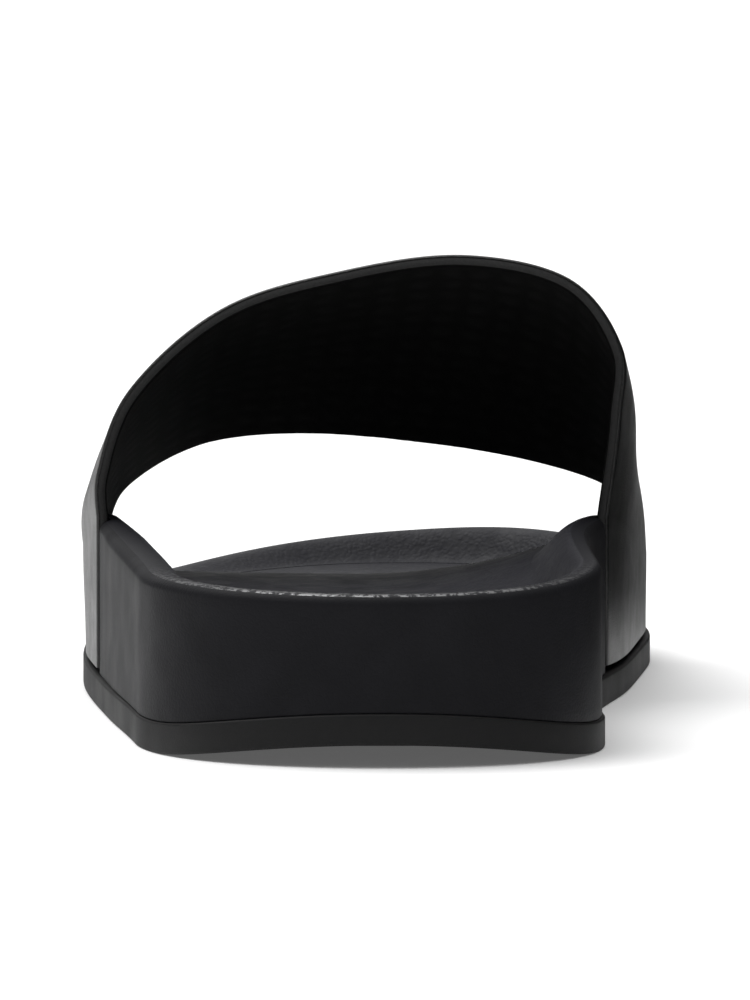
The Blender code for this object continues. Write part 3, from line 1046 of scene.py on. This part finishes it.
# The cut edge, from the outer face to the lining: inset from the edge, depth, layer that follows.
EDGE_ROWS = (
    (0.00110, 0.0, LEATHER_LAYER),
    (0.00055, 0.00003, LEATHER_LAYER),
    (0.00022, 0.00014, LEATHER_LAYER),
    (0.00005, 0.00034, LEATHER_LAYER),
    (0.00004, 0.00052, LEATHER_LAYER),
    (0.00020, 0.00060, FOAM_LAYER),
    (0.00010, 0.00080, FOAM_LAYER),
    (0.00006, 0.00120, FOAM_LAYER),
    (0.00012, 0.00160, FOAM_LAYER),
    (0.00026, 0.00182, FOAM_LAYER),
    (0.00034, 0.00190, LINING_LAYER),
    (0.00036, 0.00205, LINING_LAYER),
    (0.00062, 0.00216, LINING_LAYER),
    (0.00130, 0.00220, LINING_LAYER),
)


def band_section():
    """Once round the section: share at an edge, inset from it, depth, and the layer that follows."""
    rows = []
    first = EDGE_ROWS[0][0]
    for column in range(FACE_COLUMNS):
        share = column / FACE_COLUMNS
        rows.append((share, first * (1 - 2 * share), 0.0, LEATHER_LAYER))
    for inset, depth, layer in EDGE_ROWS[:-1]:
        rows.append((1.0, -inset, depth, layer))
    last = EDGE_ROWS[-1][0]
    for column in range(FACE_COLUMNS):
        share = 1 - column / FACE_COLUMNS
        rows.append((share, last * (1 - 2 * share), STRAP_WALL, LINING_LAYER))
    layers = [row[2] for row in EDGE_ROWS]
    for index in range(len(EDGE_ROWS) - 1, 0, -1):
        inset, depth, _ = EDGE_ROWS[index]
        rows.append((0.0, inset, depth, layers[index - 1]))
    return rows


def band_positions():
    """Places along the band: down the outer wall, over the foot, and down the inner wall."""
    wall = [step / WALL_STEPS for step in range(WALL_STEPS, 0, -1)]
    over = [LAST_RIB * step / OVER_STEPS for step in range(OVER_STEPS + 1)]
    return [-drop for drop in wall] + over + [LAST_RIB + drop for drop in reversed(wall)]


def band_mesh():
    shape = bmesh.new()
    uv_layer = shape.loops.layers.uv.new("band")
    section = band_section()
    positions = band_positions()
    walked = 0.0
    lengths = []
    before = None
    for position in positions:
        middle = band_point(position, 0.5)
        walked += (middle - before).length if before else 0.0
        lengths.append(walked)
        before = middle
    rings = []
    for position in positions:
        ring = []
        for share, inset, depth, layer in section:
            point, outward, side = band_frame(position, share)
            place = point + side * inset - outward * depth
            free = soft_step(position / WAVE_START) * soft_step((LAST_RIB - position) / WAVE_START)
            place += outward * (BAND_WAVE * free * noise.noise(point * WAVE_SCALE))
            if layer == LINING_LAYER and depth < STRAP_WALL:
                place += side * (NAP_WAVE * noise.noise(point * NAP_SCALE))
            ring.append(shape.verts.new(place - ORIGIN))
        rings.append(ring)
    count = len(section)
    width = (band_point(4.5, 1.0) - band_point(4.5, 0.0)).length
    for index, (near, far) in enumerate(zip(rings, rings[1:])):
        for step in range(count):
            after = (step + 1) % count
            face = shape.faces.new((near[step], far[step], far[after], near[after]))
            face.material_index = section[step][3]
            corners = ((index, step), (index + 1, step), (index + 1, step + 1), (index, step + 1))
            for loop, (row, column) in zip(face.loops, corners):
                share = section[column % count][0]
                loop[uv_layer].uv = (lengths[row], share * width)
    for ring in (rings[0], rings[-1]):
        for step in range(count // 2):
            spots = (step, step + 1, (count - step - 1) % count, (count - step) % count)
            corners = list(dict.fromkeys(ring[spot] for spot in spots))
            if len(corners) > 2:
                shape.faces.new(corners).material_index = LEATHER_LAYER
    return add_piece("strap_band", shape, [LEATHER, CUT_FOAM, LINING])


stand_for(band_mesh(), "strap")

# %% [markdown]
# The floor is plain and pale, as in the photograph, where floor and background are one white. A
# large plane takes the soft shadow. The light is a studio's: a bright field ahead of the toe, which
# the side wall and the lip reflect at a low angle, a faint one to the left, a broad light from
# above, and little behind the camera, so that the black heel stays black. All of it is in the
# world's shader, as a strength that depends on the direction. One wide sun above adds the shadow.
# A black card at the inner side keeps glare off the band's end there. The camera doesn't see it, and
# it leaves no shadow on the floor.

# %% Floor
FLOOR_REACH = 40.0
PAPER_GRAIN = 1000.0 / 3
floor_shape = bmesh.new()
bmesh.ops.create_grid(floor_shape, x_segments=1, y_segments=1, size=FLOOR_REACH)
# The paper also glows faintly. This is painted light: it lifts the soft shadow under the heel and
# lights the sandal's underside.
floor_material, floor_tree, floor_shader = new_material(
    "white_paper_floor", 0.9, 0.0, Emission_Color=srgb("#ffffff"), Emission_Strength=0.10,
)
paper = noise_value(floor_tree, object_place(floor_tree), PAPER_GRAIN)
link_all(floor_tree, floor_shader, {"Base Color": tint(floor_tree, paper, "#f4f4f4", "#f6f6f6")})
floor = add_piece("floor", floor_shape, [floor_material])
print("floor at height 0")

# %% Light
# Strengths, and the part of each axis of the direction over which each light fades in.
FRONT_LIGHT = 0.9
FRONT_FADE = (0.35, 0.85)
FRONT_LEFT_EDGE = (-0.50, 0.0)
FRONT_RIGHT_EDGE = (0.22, 0.02)
LEFT_LIGHT = 0.04
LEFT_FADE = (-0.35, -0.85)
TOP_LIGHT = 1.1
TOP_FADE = (0.45, 0.9)
DIM_LIGHT = 0.08
SUN_STRENGTH = 2.0
SUN_SPREAD = 50.0
SUN_DIRECTION = (0.42, -0.20, -1.0)
CARD_CORNERS = ((0.080, -0.20, 0.001), (0.080, 0.20, 0.001), (0.100, 0.20, 0.10), (0.100, -0.20, 0.10))


def world_light():
    """Soft light by direction, and plain white where the camera looks past the floor."""
    world = bpy.data.worlds.new("studio")
    bpy.context.scene.world = world
    world.use_nodes = True
    tree = world.node_tree
    tree.nodes.clear()
    direction = add_node(tree, "ShaderNodeTexCoord").outputs["Generated"]
    way = add_node(tree, "ShaderNodeSeparateXYZ", {0: direction}).outputs

    def fade(axis, span, strength=1.0):
        return remap(tree, way[axis], span, (0.0, strength), smooth=True)

    middle = math_step(tree, "MULTIPLY", fade("X", FRONT_RIGHT_EDGE), fade("X", FRONT_LEFT_EDGE))
    ahead = math_step(tree, "MULTIPLY", fade("Y", FRONT_FADE, FRONT_LIGHT), middle)
    left = math_step(tree, "ADD", fade("X", LEFT_FADE, LEFT_LIGHT), ahead)
    above = math_step(tree, "ADD", fade("Z", TOP_FADE, TOP_LIGHT), left)
    total = math_step(tree, "ADD", above, DIM_LIGHT)
    soft = add_node(tree, "ShaderNodeBackground", {"Color": srgb("#ffffff"), "Strength": total})
    white = add_node(tree, "ShaderNodeBackground", {"Color": srgb("#fdfdfd"), "Strength": 1.0})
    seen = add_node(tree, "ShaderNodeLightPath").outputs["Is Camera Ray"]
    mixed = add_node(tree, "ShaderNodeMixShader", {0: seen, 1: soft.outputs[0], 2: white.outputs[0]})
    add_node(tree, "ShaderNodeOutputWorld", {"Surface": mixed.outputs[0]})


def add_sun(name, strength, spread, direction):
    """A wide sun that shines along a direction."""
    lamp = bpy.data.lights.new(name, "SUN")
    lamp.energy = strength
    lamp.angle = math.radians(spread)
    sun = bpy.data.objects.new(name, lamp)
    sun.rotation_euler = Vector(direction).to_track_quat("-Z", "Y").to_euler()
    bpy.context.scene.collection.objects.link(sun)


def add_card():
    """A black card beside the inner side, which only glossy reflections meet."""
    shape = bmesh.new()
    shape.faces.new([shape.verts.new(corner) for corner in CARD_CORNERS])
    card, _, _ = new_material("black_card", 0.9, 0.0, Base_Color=srgb("#080808"))
    flag = add_piece("black_flag", shape, [card])
    flag.visible_camera = False
    flag.visible_diffuse = False
    flag.visible_shadow = False


world_light()
add_card()
add_sun("overhead_softbox", SUN_STRENGTH, SUN_SPREAD, SUN_DIRECTION)
bpy.context.scene.view_settings.view_transform = "Standard"
print("studio light set")

# %% [markdown]
# The camera stands where the photograph's camera stood, behind the heel and low, so the sandal has
# the same perspective. It only turns towards this one sandal and uses a longer lens to frame it.

# %% Camera
CAMERA_PLACE = (-0.0087, -1.611, 0.1426)
CAMERA_TARGET = (0.0005, -0.035, 0.0376)
CAMERA_LENS = 325.0
CAMERA_SENSOR = 36.0
lens = bpy.data.cameras.new("camera")
lens.lens = CAMERA_LENS
lens.sensor_width = CAMERA_SENSOR
lens.clip_end = 200.0
camera = bpy.data.objects.new("camera", lens)
bpy.context.scene.collection.objects.link(camera)
camera.location = CAMERA_PLACE
aim = (Vector(CAMERA_TARGET) - Vector(CAMERA_PLACE)).to_track_quat("-Z", "Y")
camera.rotation_euler = aim.to_euler()
bpy.context.scene.camera = camera
print("camera", CAMERA_LENS, "mm")
